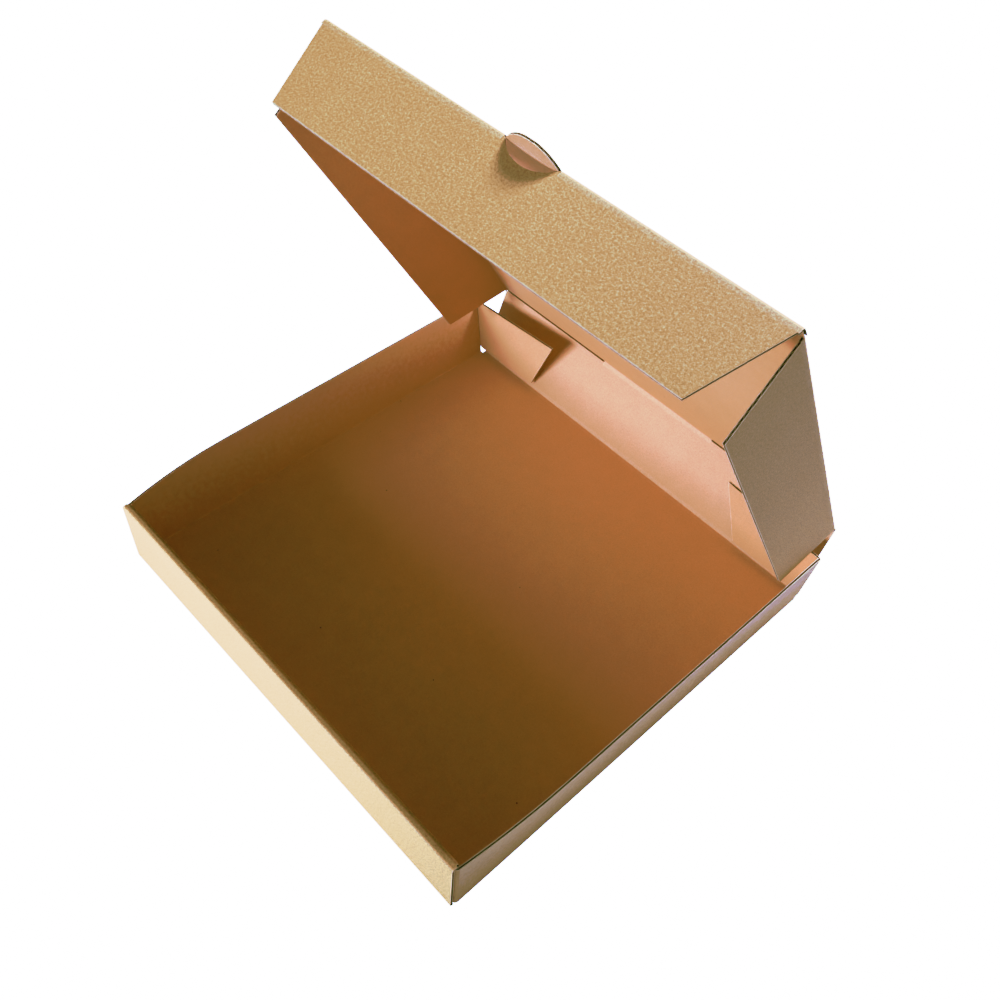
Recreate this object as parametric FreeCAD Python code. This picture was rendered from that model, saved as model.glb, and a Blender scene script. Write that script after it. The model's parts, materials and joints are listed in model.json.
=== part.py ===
"""Flat, square folding box of corrugated board, half open.

One die-cut sheet of board: a square tray with a rolled-over front wall, a back wall, and a lid with a
front flap and two side flaps. The panels that turn on their own crease are separate solids.
Millimetres. X runs along the lid's crease, Y from the front wall to the back wall, Z up.
The origin is the middle of the tray's underside.
"""
import FreeCAD, Part
import os
from math import cos, radians, sin, tan

# Driving sizes of the sheet and the tray
box_width = 330.0
box_depth = 328.0
board = 1.8
fold_radius = 2.4
side_fold_land = 1.0
roll_radius = 2.1
layer_gap = 0.3
front_wall_height = 54.9
front_end_inset = 1.2
roll_end_gap = 0.5
side_wall_drop_front = 2.3
side_wall_drop_rear = 2.4
left_wall_lean = 9.0
right_wall_lean = 4.5
lean_length = 80.0
corner_cut = 0.3
dust_flap_length = 62.0
dust_flap_top_gap = 0.3

# Driving sizes of the back wall and its lean in the photographed pose
lid_rise = 3.5
back_wall_lean = 21.0

# Driving sizes of the lid and its flaps
flap_clearance = 1.2
lid_setback = 14.5
lid_raised = 59.3
crease_joined_half = 53.3
slit_half = 0.5
mitre_ease = 0.05
front_flap_fold = 83.0
front_flap_floor_gap = 1.9
front_flap_taper = 18.3
side_flap_flare = 1.0
side_flap_floor_gap = 2.4
side_flap_rear_start = 2.0
side_flap_rear_end = 30.0
side_flap_front_start = 8.0
side_flap_front_end = 18.0

# Driving sizes of the thumb hole in the front flap, and of the tab cut from it, which stays with the lid
notch_half_width = 20.0
notch_depth = 9.8
tab_side_gap = 1.8
tab_end_gap = 0.6
tab_lean_back = 12.0
tab_bend_radius = 10.0

# Driving sizes of the loose flaps at the rear corners
corner_flap_gap = 0.3
corner_flap_top_length = 76.0
corner_flap_bottom_length = 58.0
corner_flap_bottom_crease = 6.0
corner_flap_bottom_free = 8.0
corner_flap_lid_gap = 0.9
corner_flap_top_drop = 2.5
corner_flap_crease_gap = 0.1

# Sizes that follow from them
half_width = box_width / 2
half_depth = box_depth / 2
wall_inside = half_width - board
floor_half_width = half_width - fold_radius - side_fold_land
back_wall_height = front_wall_height + board + lid_rise
lid_half_width = wall_inside - flap_clearance
lid_length = box_depth - lid_setback
side_flap_depth = back_wall_height - board - side_flap_floor_gap
front_flap_depth = back_wall_height - board - front_flap_floor_gap
side_height_front = front_wall_height - side_wall_drop_front
side_height_rear = front_wall_height - side_wall_drop_rear
dust_face = half_depth - board - layer_gap
roll_inside = dust_face - board - layer_gap - board
back_face_inside = half_depth - board
side_wall_rear = back_face_inside - corner_flap_gap - board
tab_half_width = notch_half_width - tab_side_gap
tab_height = notch_depth - tab_end_gap
tab_root = 2 * board

X_AXIS = FreeCAD.Vector(1, 0, 0)
Y_AXIS = FreeCAD.Vector(0, 1, 0)
Z_AXIS = FreeCAD.Vector(0, 0, 1)
ORIGIN = FreeCAD.Vector(0, 0, 0)
hairline = 1e-6
lean_sections = 4


def flat(a, b):
    """A point of a flat drawing, which frame() later puts in its place."""
    return FreeCAD.Vector(a, b, 0)


def frame(origin, first, second):
    """The place of a drawing whose first and second directions are given."""
    third = first.cross(second)
    rows = []
    for axis in ("x", "y", "z"):
        rows += [getattr(v, axis) for v in (first, second, third, origin)]
    return FreeCAD.Placement(FreeCAD.Matrix(*rows, 0, 0, 0, 1))


def placed(shape, place):
    moved = shape.copy()
    moved.Placement = place
    return moved


def plate(points, thickness):
    """A flat panel with the given outline. A negative thickness goes below the drawing."""
    outline = Part.makePolygon(points + [points[0]])
    return Part.Face(outline).extrude(Z_AXIS * thickness)


def block(low, high):
    """A box between two corners."""
    size = high - low
    return Part.makeBox(size.x, size.y, size.z, low)


def add_line(edges, start, end):
    """A straight edge, left out where a bend begins right at the strip's end."""
    if start.distanceToPoint(end) > hairline:
        edges.append(Part.LineSegment(start, end).toShape())


def strip_wire(path, radii):
    """The section of a bent board: its outer face follows path, and it bends to the left of it."""
    directions = [(b - a).normalize() for a, b in zip(path, path[1:])]
    sides = [Z_AXIS.cross(d) for d in directions]
    out, inside = path[0], path[0] + sides[0] * board
    outer, inner = [], []
    add_line(inner, inside, out)
    for k, radius in enumerate(radii):
        corner, before, after = path[k + 1], directions[k], directions[k + 1]
        reach = radius * tan(before.getAngle(after) / 2)
        bend_out, next_out = corner - before * reach, corner + after * reach
        centre = bend_out + sides[k] * radius
        towards = (corner - centre).normalize()
        bend_in, next_in = bend_out + sides[k] * board, next_out + sides[k + 1] * board
        add_line(outer, out, bend_out)
        outer.append(Part.Arc(bend_out, centre + towards * radius, next_out).toShape())
        add_line(inner, inside, bend_in)
        inner.append(Part.Arc(bend_in, centre + towards * (radius - board), next_in).toShape())
        out, inside = next_out, next_in
    last = path[-1]
    add_line(outer, out, last)
    add_line(outer, last, last + sides[-1] * board)
    add_line(inner, inside, last + sides[-1] * board)
    return Part.Wire(Part.__sortEdges__(outer + inner))


def strip(path, radii, length):
    """A bent board of constant section."""
    return Part.Face(strip_wire(path, radii)).extrude(Z_AXIS * length)


def mitre(start, end, inward):
    """The wedge that a crease presses out of a board: a blade along the line from start to end, which
    the board's outer face keeps, slanting inward through the thickness."""
    lower = start + Z_AXIS * (2 * board)
    section = Part.makePolygon([start, lower, lower + inward * (2 * board + mitre_ease), start])
    return Part.Face(section).extrude(end - start)


def mirrored(shape):
    """The same shape on the other side of the box."""
    return shape.mirror(ORIGIN, X_AXIS)


def fused(first, *others):
    solid = first.multiFuse(list(others)).removeSplitter()
    return solid.Solids[0] if len(solid.Solids) == 1 else solid


def round_end(half, depth):
    """A thick block whose end is round: it reaches the given depth past the edge at zero."""
    left = flat(-half, 0)
    right = flat(half, 0)
    curve = Part.Arc(left, flat(0, depth), right).toShape()
    sides = Part.makePolygon([right, flat(half, -depth), flat(-half, -depth), left])
    outline = Part.Face(Part.Wire(Part.__sortEdges__([curve] + sides.Edges)))
    thick = 2 * (board + depth)
    return outline.extrude(Z_AXIS * thick).translated(Z_AXIS * (-thick / 2))


def crease_slits(width_half):
    """The slits that are cut along the lid's crease, either side of the stretch that stays joined."""
    cutters = []
    for side in (-1, 1):
        near = side * crease_joined_half
        far = side * (width_half + board)
        low = FreeCAD.Vector(min(near, far), -slit_half, -board)
        high = FreeCAD.Vector(max(near, far), slit_half, 2 * board)
        cutters.append(block(low, high))
    return cutters[0].fuse(cutters[1])


# Tray
def tray_floor():
    """The floor, whose rear edge is pressed to the mitre of the back wall's crease."""
    low = FreeCAD.Vector(-floor_half_width, fold_radius - half_depth, 0)
    high = FreeCAD.Vector(floor_half_width, half_depth, board)
    rear = flat(-half_width, half_depth)
    return block(low, high).cut(mitre(rear, rear + X_AXIS * box_width, -Y_AXIS))


def front_wall():
    """The rolled-over front: up from the floor, over the top, and down inside."""
    path = [
        flat(half_depth - fold_radius, 0),
        flat(half_depth, 0),
        flat(half_depth, front_wall_height),
        flat(roll_inside, front_wall_height),
        flat(roll_inside, board + layer_gap),
    ]
    half_length = half_width - front_end_inset
    wall = strip(path, [fold_radius, roll_radius, roll_radius], 2 * half_length)
    wall = placed(wall, frame(X_AXIS * half_length, -Y_AXIS, Z_AXIS))
    panel_end = wall_inside - roll_end_gap
    low = FreeCAD.Vector(panel_end, layer_gap - dust_face, 0)
    high = FreeCAD.Vector(half_width, board - roll_inside, front_wall_height - board)
    end_cut = block(low, high)
    return wall.cut(end_cut).cut(mirrored(end_cut))


def side_section(height, lean):
    """The section of a side wall and the fold at its foot, on the right."""
    path = [flat(floor_half_width, 0), flat(half_width, 0), flat(half_width + lean, height)]
    return strip_wire(path, [fold_radius])


def side_wall(lean):
    """The right side wall, upright where the front wall holds it and then leaning out by its springiness."""
    front_y = fold_radius - dust_face
    length = side_wall_rear - front_y
    steps = [lean_length * k / lean_sections for k in range(lean_sections + 1)]
    sections = []
    for along in steps + [length]:
        height = side_height_front + (side_height_rear - side_height_front) * along / length
        held = max(0, 1 - along / lean_length)
        wire = side_section(height, lean * (1 - held**2))
        sections.append(placed(wire, frame(Y_AXIS * (front_y + along), X_AXIS, Z_AXIS)))
    wall = Part.makeLoft(sections, True, True)
    return wall.fuse(dust_flap())


def dust_flap():
    """The flap that folds round from the side wall's front end and is held inside the front wall."""
    path = [
        flat(half_width - dust_flap_length, -dust_face),
        flat(half_width, -dust_face),
        flat(half_width, fold_radius - dust_face),
    ]
    foot = fold_radius + corner_cut
    top = front_wall_height - board - dust_flap_top_gap
    height = min(top, side_height_front) - foot
    return strip(path, [fold_radius], height).translated(Z_AXIS * foot)


def make_tray():
    left = mirrored(side_wall(left_wall_lean))
    return fused(tray_floor(), front_wall(), left, side_wall(right_wall_lean))


# Places of the panels in the photographed pose
wall_up = FreeCAD.Vector(0, sin(radians(back_wall_lean)), cos(radians(back_wall_lean)))
wall_crease = Y_AXIS * half_depth
lid_crease = wall_crease + wall_up * back_wall_height
lid_along = FreeCAD.Vector(0, -cos(radians(lid_raised)), sin(radians(lid_raised)))
lid_inward = X_AXIS.cross(lid_along)
lid_front = lid_crease + lid_along * lid_length
flap_turn = radians(front_flap_fold)
front_flap_along = lid_along * cos(flap_turn) + lid_inward * sin(flap_turn)


# Back wall
def make_back_wall():
    """The back wall, slightly narrower at the lid's crease than at the floor's."""
    foot = half_width - fold_radius
    outline = [
        flat(-foot, 0),
        flat(foot, 0),
        flat(lid_half_width, back_wall_height),
        flat(-lid_half_width, back_wall_height),
    ]
    wall = plate(outline, board)
    wall = wall.cut(mitre(outline[0] - X_AXIS, outline[1] + X_AXIS, Y_AXIS))
    wall = wall.cut(mitre(outline[3] - X_AXIS, outline[2] + X_AXIS, -Y_AXIS))
    slits = crease_slits(lid_half_width).translated(Y_AXIS * back_wall_height)
    return placed(wall.cut(slits), frame(wall_crease, X_AXIS, wall_up))


# Lid
def thumb_tab():
    """The tab over the thumb hole: it carries on from the lid past the crease and leans back."""
    lean = radians(tab_lean_back)
    path = [flat(-tab_root, 0), flat(0, 0), flat(tab_height * cos(lean), tab_height * sin(lean))]
    bent = strip(path, [tab_bend_radius], 2 * tab_half_width)
    bent = placed(bent, frame(X_AXIS * tab_half_width + Z_AXIS * board, Y_AXIS, -Z_AXIS))
    return bent.common(round_end(tab_half_width, tab_height))


def make_lid_panel():
    """The lid's panel, pressed to a mitre along its four creases, with its thumb tab."""
    corners = [
        flat(-lid_half_width, 0),
        flat(lid_half_width, 0),
        flat(lid_half_width, lid_length),
        flat(-lid_half_width, lid_length),
    ]
    inward = [Y_AXIS, -X_AXIS, -Y_AXIS, X_AXIS]
    panel = plate(corners, board)
    for start, end, slant in zip(corners, corners[1:] + corners[:1], inward):
        run = (end - start).normalize()
        panel = panel.cut(mitre(start - run, end + run, slant))
    panel = panel.cut(crease_slits(lid_half_width))
    panel = fused(panel, thumb_tab().translated(Y_AXIS * lid_length))
    return placed(panel, frame(lid_crease, X_AXIS, lid_along))


def make_lid_front_flap():
    """The lid's front flap, narrower at its free edge, with the thumb hole at its crease."""
    free_half = lid_half_width - front_flap_taper
    outline = [
        flat(-lid_half_width, 0),
        flat(lid_half_width, 0),
        flat(free_half, front_flap_depth),
        flat(-free_half, front_flap_depth),
    ]
    flap = plate(outline, board)
    flap = flap.cut(mitre(outline[0] - X_AXIS, outline[1] + X_AXIS, Y_AXIS))
    flap = flap.cut(round_end(notch_half_width, notch_depth))
    return placed(flap, frame(lid_front, X_AXIS, front_flap_along))


def make_lid_side_flap():
    """The lid's right side flap, slanted at both ends, hanging nearly square from the lid."""
    outline = [
        flat(side_flap_rear_start, 0),
        flat(lid_length - side_flap_front_start, 0),
        flat(lid_length - side_flap_front_end, side_flap_depth),
        flat(side_flap_rear_end, side_flap_depth),
    ]
    flap = plate(outline, board)
    flap = flap.cut(mitre(outline[0] - X_AXIS, outline[1] + X_AXIS, Y_AXIS))
    flap = flap.mirror(ORIGIN, Z_AXIS)
    flare = radians(side_flap_flare)
    down = lid_inward * cos(flare) + X_AXIS * sin(flare)
    start = lid_crease + X_AXIS * lid_half_width
    return placed(flap, frame(start, lid_along, down))


# Loose flaps at the rear corners
def make_corner_flap(lean):
    """The right one: its crease follows the leaning end of the side wall, and its end is slanted."""
    lean_per_height = lean / side_height_rear
    top_free = back_wall_height - board - corner_flap_lid_gap
    top_crease = side_height_rear - corner_flap_top_drop

    def crease(height):
        return flat(wall_inside - corner_flap_crease_gap + lean_per_height * height, height)

    outline = [
        crease(corner_flap_bottom_crease),
        crease(top_crease),
        flat(wall_inside - corner_flap_top_length, top_free),
        flat(wall_inside - corner_flap_bottom_length, corner_flap_bottom_free),
    ]
    flap = plate(outline, -board)
    return placed(flap, frame(Y_AXIS * side_wall_rear, X_AXIS, Z_AXIS))


right_flap = make_lid_side_flap()
parts = {
    "tray": make_tray(),
    "back_wall": make_back_wall(),
    "lid_panel": make_lid_panel(),
    "lid_front_flap": make_lid_front_flap(),
    "lid_left_flap": mirrored(right_flap),
    "lid_right_flap": right_flap,
    "rear_left_corner_flap": mirrored(make_corner_flap(left_wall_lean)),
    "rear_right_corner_flap": make_corner_flap(right_wall_lean),
}

os.makedirs("parts", exist_ok=True)
for name, shape in parts.items():
    shape.exportStep("parts/" + name + ".step")
    box = shape.BoundBox
    print(
        f"{name}: {len(shape.Solids)} solid, valid {shape.isValid()}, {shape.Volume:.0f} mm3,"
        f" x {box.XMin:.2f} {box.XMax:.2f}, y {box.YMin:.2f} {box.YMax:.2f},"
        f" z {box.ZMin:.2f} {box.ZMax:.2f}"
    )
for label, place in (("wall crease", wall_crease), ("lid crease", lid_crease), ("lid front", lid_front)):
    print(f"{label}: y {place.y:.3f}, z {place.z:.3f}")
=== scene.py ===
"""Folding box of brown corrugated board, half open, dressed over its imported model.

Every panel is two paper liners with a wavy paper between them. Lengths are millimetres until a point
is placed, where MM turns them to metres. Each panel keeps its place on the flat sheet as its UV map,
so the paper's pattern and the flutes run on across every fold.
"""

import bmesh
import bpy
import json
import numpy as np
from math import atan2, cos, pi, radians, sin, tan
from mathutils import Matrix, Vector

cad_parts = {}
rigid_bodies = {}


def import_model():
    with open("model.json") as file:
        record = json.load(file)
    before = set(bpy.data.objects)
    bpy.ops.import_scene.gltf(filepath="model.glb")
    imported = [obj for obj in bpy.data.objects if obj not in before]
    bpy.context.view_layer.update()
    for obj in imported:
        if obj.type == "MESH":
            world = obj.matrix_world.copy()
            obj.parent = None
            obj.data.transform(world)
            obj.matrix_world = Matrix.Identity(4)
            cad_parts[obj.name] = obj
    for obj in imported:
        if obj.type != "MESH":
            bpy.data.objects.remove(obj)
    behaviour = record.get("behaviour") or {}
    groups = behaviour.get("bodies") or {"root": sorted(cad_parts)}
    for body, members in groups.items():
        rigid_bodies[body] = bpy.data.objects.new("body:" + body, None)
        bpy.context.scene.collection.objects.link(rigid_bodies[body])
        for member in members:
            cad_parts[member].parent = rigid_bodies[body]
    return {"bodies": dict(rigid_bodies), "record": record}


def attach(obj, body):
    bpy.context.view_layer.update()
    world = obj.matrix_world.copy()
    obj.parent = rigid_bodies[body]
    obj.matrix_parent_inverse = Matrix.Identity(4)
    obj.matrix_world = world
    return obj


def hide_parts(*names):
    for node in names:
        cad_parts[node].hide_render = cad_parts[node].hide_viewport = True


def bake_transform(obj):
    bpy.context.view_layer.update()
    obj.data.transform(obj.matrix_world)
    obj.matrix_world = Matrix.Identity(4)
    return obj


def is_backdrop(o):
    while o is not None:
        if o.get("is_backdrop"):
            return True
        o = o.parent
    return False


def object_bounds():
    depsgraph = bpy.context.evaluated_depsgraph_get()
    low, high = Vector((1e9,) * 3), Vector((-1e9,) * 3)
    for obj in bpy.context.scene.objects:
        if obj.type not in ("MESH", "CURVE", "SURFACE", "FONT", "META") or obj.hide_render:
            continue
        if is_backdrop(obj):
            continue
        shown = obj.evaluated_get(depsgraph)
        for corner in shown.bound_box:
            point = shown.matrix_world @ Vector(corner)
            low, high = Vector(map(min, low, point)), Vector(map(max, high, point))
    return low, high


MM = 0.001

# The sheet's sizes, the same as the solids have
BOX_WIDTH = 330.0
BOX_DEPTH = 328.0
BOARD = 1.8
FOLD_RADIUS = 2.4
ROLL_RADIUS = 2.1
LAYER_GAP = 0.3
SIDE_FOLD_LAND = 1.0
FLOOR_HALF = BOX_WIDTH / 2 - FOLD_RADIUS - SIDE_FOLD_LAND
FRONT_HEIGHT = 54.9
FRONT_HALF = 163.8
ROLL_HALF = 162.7
SIDE_HEIGHT_FRONT = 52.6
SIDE_HEIGHT_REAR = 52.5
LEFT_LEAN = 9.0
RIGHT_LEAN = 4.5
LEAN_LENGTH = 80.0
DUST_FACE = BOX_DEPTH / 2 - BOARD - LAYER_GAP
DUST_LENGTH = 62.0
ROLL_INSIDE = DUST_FACE - BOARD - LAYER_GAP - BOARD
SIDE_FRONT = FOLD_RADIUS - DUST_FACE
SIDE_REAR = 160.1
WALL_LENGTH = 60.2
WALL_LEAN = radians(21.0)
LID_HALF = 162.0
LID_LENGTH = 313.5
LID_RAISED = radians(59.3)
JOINED_HALF = 53.3
SLIT_HALF = 0.5
FRONT_FLAP_FOLD = radians(83.0)
FRONT_FLAP_DEPTH = 56.5
FRONT_FLAP_TAPER = 18.3
SIDE_FLAP_FLARE = radians(1.0)
SIDE_FLAP_DEPTH = 56.0
SIDE_FLAP_REAR = (2.0, 30.0)
SIDE_FLAP_FRONT = (305.5, 295.5)
HOLE_HALF = 20.0
HOLE_DEPTH = 9.8
TAB_HALF = 18.2
TAB_HEIGHT = 9.2
TAB_LEAN = radians(12.0)
TAB_BEND = 10.0
TAB_SIDE = 19.6
CORNER_PIVOT = 163.1
CORNER_BOTTOM = (6.0, 8.0)
CORNER_TOP = (50.0, 57.5)
CORNER_FREE = (105.2, 87.2)

# The paper: its thickness, the land it keeps free beside a fold, and how its edges are pinched and rubbed
LINER = 0.32
OUTER = (0.0, LINER)
INNER = (BOARD, BOARD - LINER)
CREASE_LAND = 4.0
EDGE_PINCH = 0.05
EDGE_REACH = 0.9
EDGE_FADE = 0.8
CREASE_FADE = 2.0

# The flutes, and how far they stop short of a panel's sides or run on under a fold
PITCH = 6.0
FLUTE_PAPER = 0.22
FLUTE_RECESS = 0.06
FLUTE_EDGE = 0.5
FLUTE_STEPS = 10
FLUTE_MERGE = 0.002
FLUTE_OVERLAP = 1.0
ROLL_FLUTE_END = 162.0
SIDE_FLUTE_START = 8.0
SIDE_FLUTE_INSET = 1.6
SIDE_FLUTE_REAR = 0.4
FLAP_FLUTE_INSET = 1.4
WALL_FLUTE_INSET = 2.2
LID_FLUTE_INSET = 3.0
TAB_FLUTE_INSET = 0.3
CORNER_FLUTE_INSET = (1.0, 2.0)

# The grid of a paper: its stops beside an edge, its columns and rows, and the steps of a round bend
EDGE_STOPS = (0.0, 0.35, 0.9, 2.2, 5.0)
EDGE_SHARE = 2.4
PANEL_STEP = 20
LONG_ROWS = 16
ROUND_STEPS = 41
ARC_STEPS = 6
JUMP = 0.05
FAR = 1000.0
TINY = 1e-9
LINER_SHARP = radians(32)
FLUTE_SHARP = radians(50)

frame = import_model()
cad_low, cad_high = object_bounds()

X_AXIS = Vector((1, 0, 0))
Y_AXIS = Vector((0, 1, 0))
Z_AXIS = Vector((0, 0, 1))
wall_up = Vector((0, sin(WALL_LEAN), cos(WALL_LEAN)))
wall_inward = X_AXIS.cross(wall_up)
wall_crease = Y_AXIS * (BOX_DEPTH / 2)
lid_crease = wall_crease + wall_up * WALL_LENGTH
lid_along = Vector((0, -cos(LID_RAISED), sin(LID_RAISED)))
lid_inward = X_AXIS.cross(lid_along)
lid_front = lid_crease + lid_along * LID_LENGTH
flap_along = lid_along * cos(FRONT_FLAP_FOLD) + lid_inward * sin(FRONT_FLAP_FOLD)
flap_inward = X_AXIS.cross(flap_along)


# Meshes
def write_layers(mesh, sheet, numbers):
    """The flat sheet's UV map, and a number for each point under each name."""
    corners = np.empty(len(mesh.loops), np.int32)
    mesh.loops.foreach_get("vertex_index", corners)
    places = np.array(sheet, np.float32) * MM
    mesh.uv_layers.new(name="Sheet").data.foreach_set("uv", places[corners].ravel())
    for key, values in numbers.items():
        layer = mesh.attributes.new(key, "FLOAT", "POINT")
        layer.data.foreach_set("value", np.array(values, np.float32))


def finished(name, mesh, sharp):
    """The mesh's object, with its faces turned outwards and its edges over the sharp angle kept crisp."""
    shell = bmesh.new()
    shell.from_mesh(mesh)
    bmesh.ops.recalc_face_normals(shell, faces=shell.faces)
    shell.to_mesh(mesh)
    shell.free()
    mesh.shade_smooth()
    mesh.set_sharp_from_angle(angle=sharp)
    made = bpy.data.objects.new(name, mesh)
    bpy.context.scene.collection.objects.link(made)
    return made


def closeness(names, w, r, first, last, low, high):
    """How far a point is from the nearest of the named edges."""
    reach = {"s": abs(w - first), "e": abs(last - w), "l": abs(r - low), "h": abs(high - r)}
    return min((reach[name] for name in names), default=FAR)


class Board:
    """The liners of one body: points, faces, finishes, flat-sheet places and closeness to the edges."""

    def __init__(self):
        self.points, self.faces, self.finishes = [], [], []
        self.sheet, self.edge, self.crease = [], [], []

    def liner(self, place, sheet, ws, low, high, depths, finish, cut="", scored="", rows=6, marks=()):
        """One closed paper: a grid of columns at ws that run from low to high, depths apart. The
        columns have their stops at marks, or else rows stops between those beside their ends.
        cut and scored name the edges that are cut or creased: s and e for the first and last
        column, l and h for the low and high ends."""
        grid = []
        for w in ws:
            a, b = low(w), high(w)
            if len(marks):
                stops = [a, *marks, b]
            else:
                scale = min(1.0, (b - a) / (EDGE_SHARE * EDGE_STOPS[-1]))
                ends = [d * scale for d in EDGE_STOPS]
                inner = np.linspace(a + ends[-1], b - ends[-1], rows + 2)[1:-1]
                stops = [a + d for d in ends] + list(inner) + [b - d for d in reversed(ends)]
            grid.append([(w, r, a, b) for r in stops])
        columns, count, base = len(ws), len(grid[0]), len(self.points)
        facing, backing = depths
        toward = 1 if backing > facing else -1
        for depth in depths:
            for w, r, a, b in sum(grid, []):
                gap = closeness(cut, w, r, ws[0], ws[-1], a, b)
                fold = closeness(scored, w, r, ws[0], ws[-1], a, b)
                pinch = EDGE_PINCH * np.exp(-((gap / EDGE_REACH) ** 2)) * toward
                self.points.append(place(w, r, depth + pinch) * MM)
                self.sheet.append(sheet(w, r))
                self.edge.append(float(np.exp(-gap / EDGE_FADE)))
                self.crease.append(float(np.exp(-fold / CREASE_FADE)))

        def at(i, j, layer=0):
            return base + (layer * columns + i) * count + j

        for i in range(columns - 1):
            for j in range(count - 1):
                self.add([at(i, j), at(i + 1, j), at(i + 1, j + 1), at(i, j + 1)], finish)
                self.add([at(i, j, 1), at(i, j + 1, 1), at(i + 1, j + 1, 1), at(i + 1, j, 1)], "back")
        for i in range(columns - 1):
            for j in (0, count - 1):
                self.add([at(i, j), at(i + 1, j), at(i + 1, j, 1), at(i, j, 1)], "cut")
        for j in range(count - 1):
            for i in (0, columns - 1):
                self.add([at(i, j), at(i, j + 1), at(i, j + 1, 1), at(i, j, 1)], "cut")

    def add(self, face, finish):
        self.faces.append(face)
        self.finishes.append(finish)

    def object(self, name, papers):
        """The mesh object, with a material for each finish."""
        mesh = bpy.data.meshes.new(name)
        mesh.from_pydata([tuple(p) for p in self.points], [], self.faces)
        names = list(papers)
        for key in names:
            mesh.materials.append(papers[key])
        mesh.polygons.foreach_set("material_index", [names.index(f) for f in self.finishes])
        write_layers(mesh, self.sheet, {"edge_close": self.edge, "crease_close": self.crease})
        return finished(name, mesh, LINER_SHARP)


def spread(start, end, step, *extra):
    """Stops from start to end, close together near both ends, with any extra stops."""
    near = EDGE_STOPS[-1]
    inner = max(1, round((end - start - 2 * near) / step))
    stops = {start + d for d in EDGE_STOPS} | {end - d for d in EDGE_STOPS}
    stops |= {*np.linspace(start + near, end - near, inner + 1), *extra}
    return [v for v in sorted({round(v, 4) for v in stops}) if start <= v <= end]


def constant(value):
    """An end that is the same all the way across."""
    def end(w):
        return value

    return end


def stepped(joined, slit):
    """An end that stops short where the crease is joined and runs on where it is slit."""
    def end(w):
        return joined if abs(w) < JOINED_HALF else slit

    return end


def round_end(w, half, depth):
    """How far a round end of the given half width and depth reaches at w."""
    radius = (half**2 + depth**2) / (2 * depth)
    if abs(w) >= half:
        return 0.0
    return depth - radius + (radius**2 - w**2) ** 0.5


def flat_place(origin, across, along, inward):
    """The points of a flat panel."""
    def place(w, r, depth):
        return origin + across * w + along * r + inward * depth

    return place


def on_sheet(along=0.0, side=1, across=0.0, stretch=1.0):
    """The flat sheet's places for a panel that starts this far along and across; side is -1 on the left."""
    def flat(w, r):
        return (side * (across + w * stretch), along + r)

    return flat


def mirrored(place):
    """The same points on the other side of the box."""
    def other(w, r, depth):
        p = place(w, r, depth)
        return Vector((-p.x, p.y, p.z))

    return other


def bent(path, radii):
    """A path that is rounded at its corners: its length, its stops and the point at a length and a
    depth to its left."""
    pieces, stops, total = [], [0.0], 0.0
    here = Vector(path[0])
    for k, radius in enumerate(radii):
        corner = Vector(path[k + 1])
        before = (corner - Vector(path[k])).normalized()
        after = (Vector(path[k + 2]) - corner).normalized()
        turn = atan2(before.x * after.y - before.y * after.x, before.dot(after))
        reach = radius * tan(turn / 2)
        start = corner - before * reach
        pieces.append((total, here, before, None))
        total += (start - here).length
        pieces.append((total, start + Vector((-before.y, before.x)) * radius, before, radius))
        stops += [total + radius * turn * q / ARC_STEPS for q in range(ARC_STEPS + 1)]
        total += radius * turn
        here = corner + after * reach
    run = Vector(path[-1]) - here
    pieces.append((total, here, run.normalized(), None))
    total += run.length
    stops.append(total)

    def point(s, depth):
        begun, origin, heading, radius = [p for p in pieces if p[0] <= s + TINY][-1]
        side = Vector((-heading.y, heading.x))
        if radius is None:
            return origin + heading * (s - begun) + side * depth
        angle = (s - begun) / radius
        x, y = -side.x, -side.y
        turned = Vector((x * cos(angle) - y * sin(angle), x * sin(angle) + y * cos(angle)))
        return origin + turned * (radius - depth)

    return total, sorted({round(s, 5) for s in stops}), point


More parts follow.
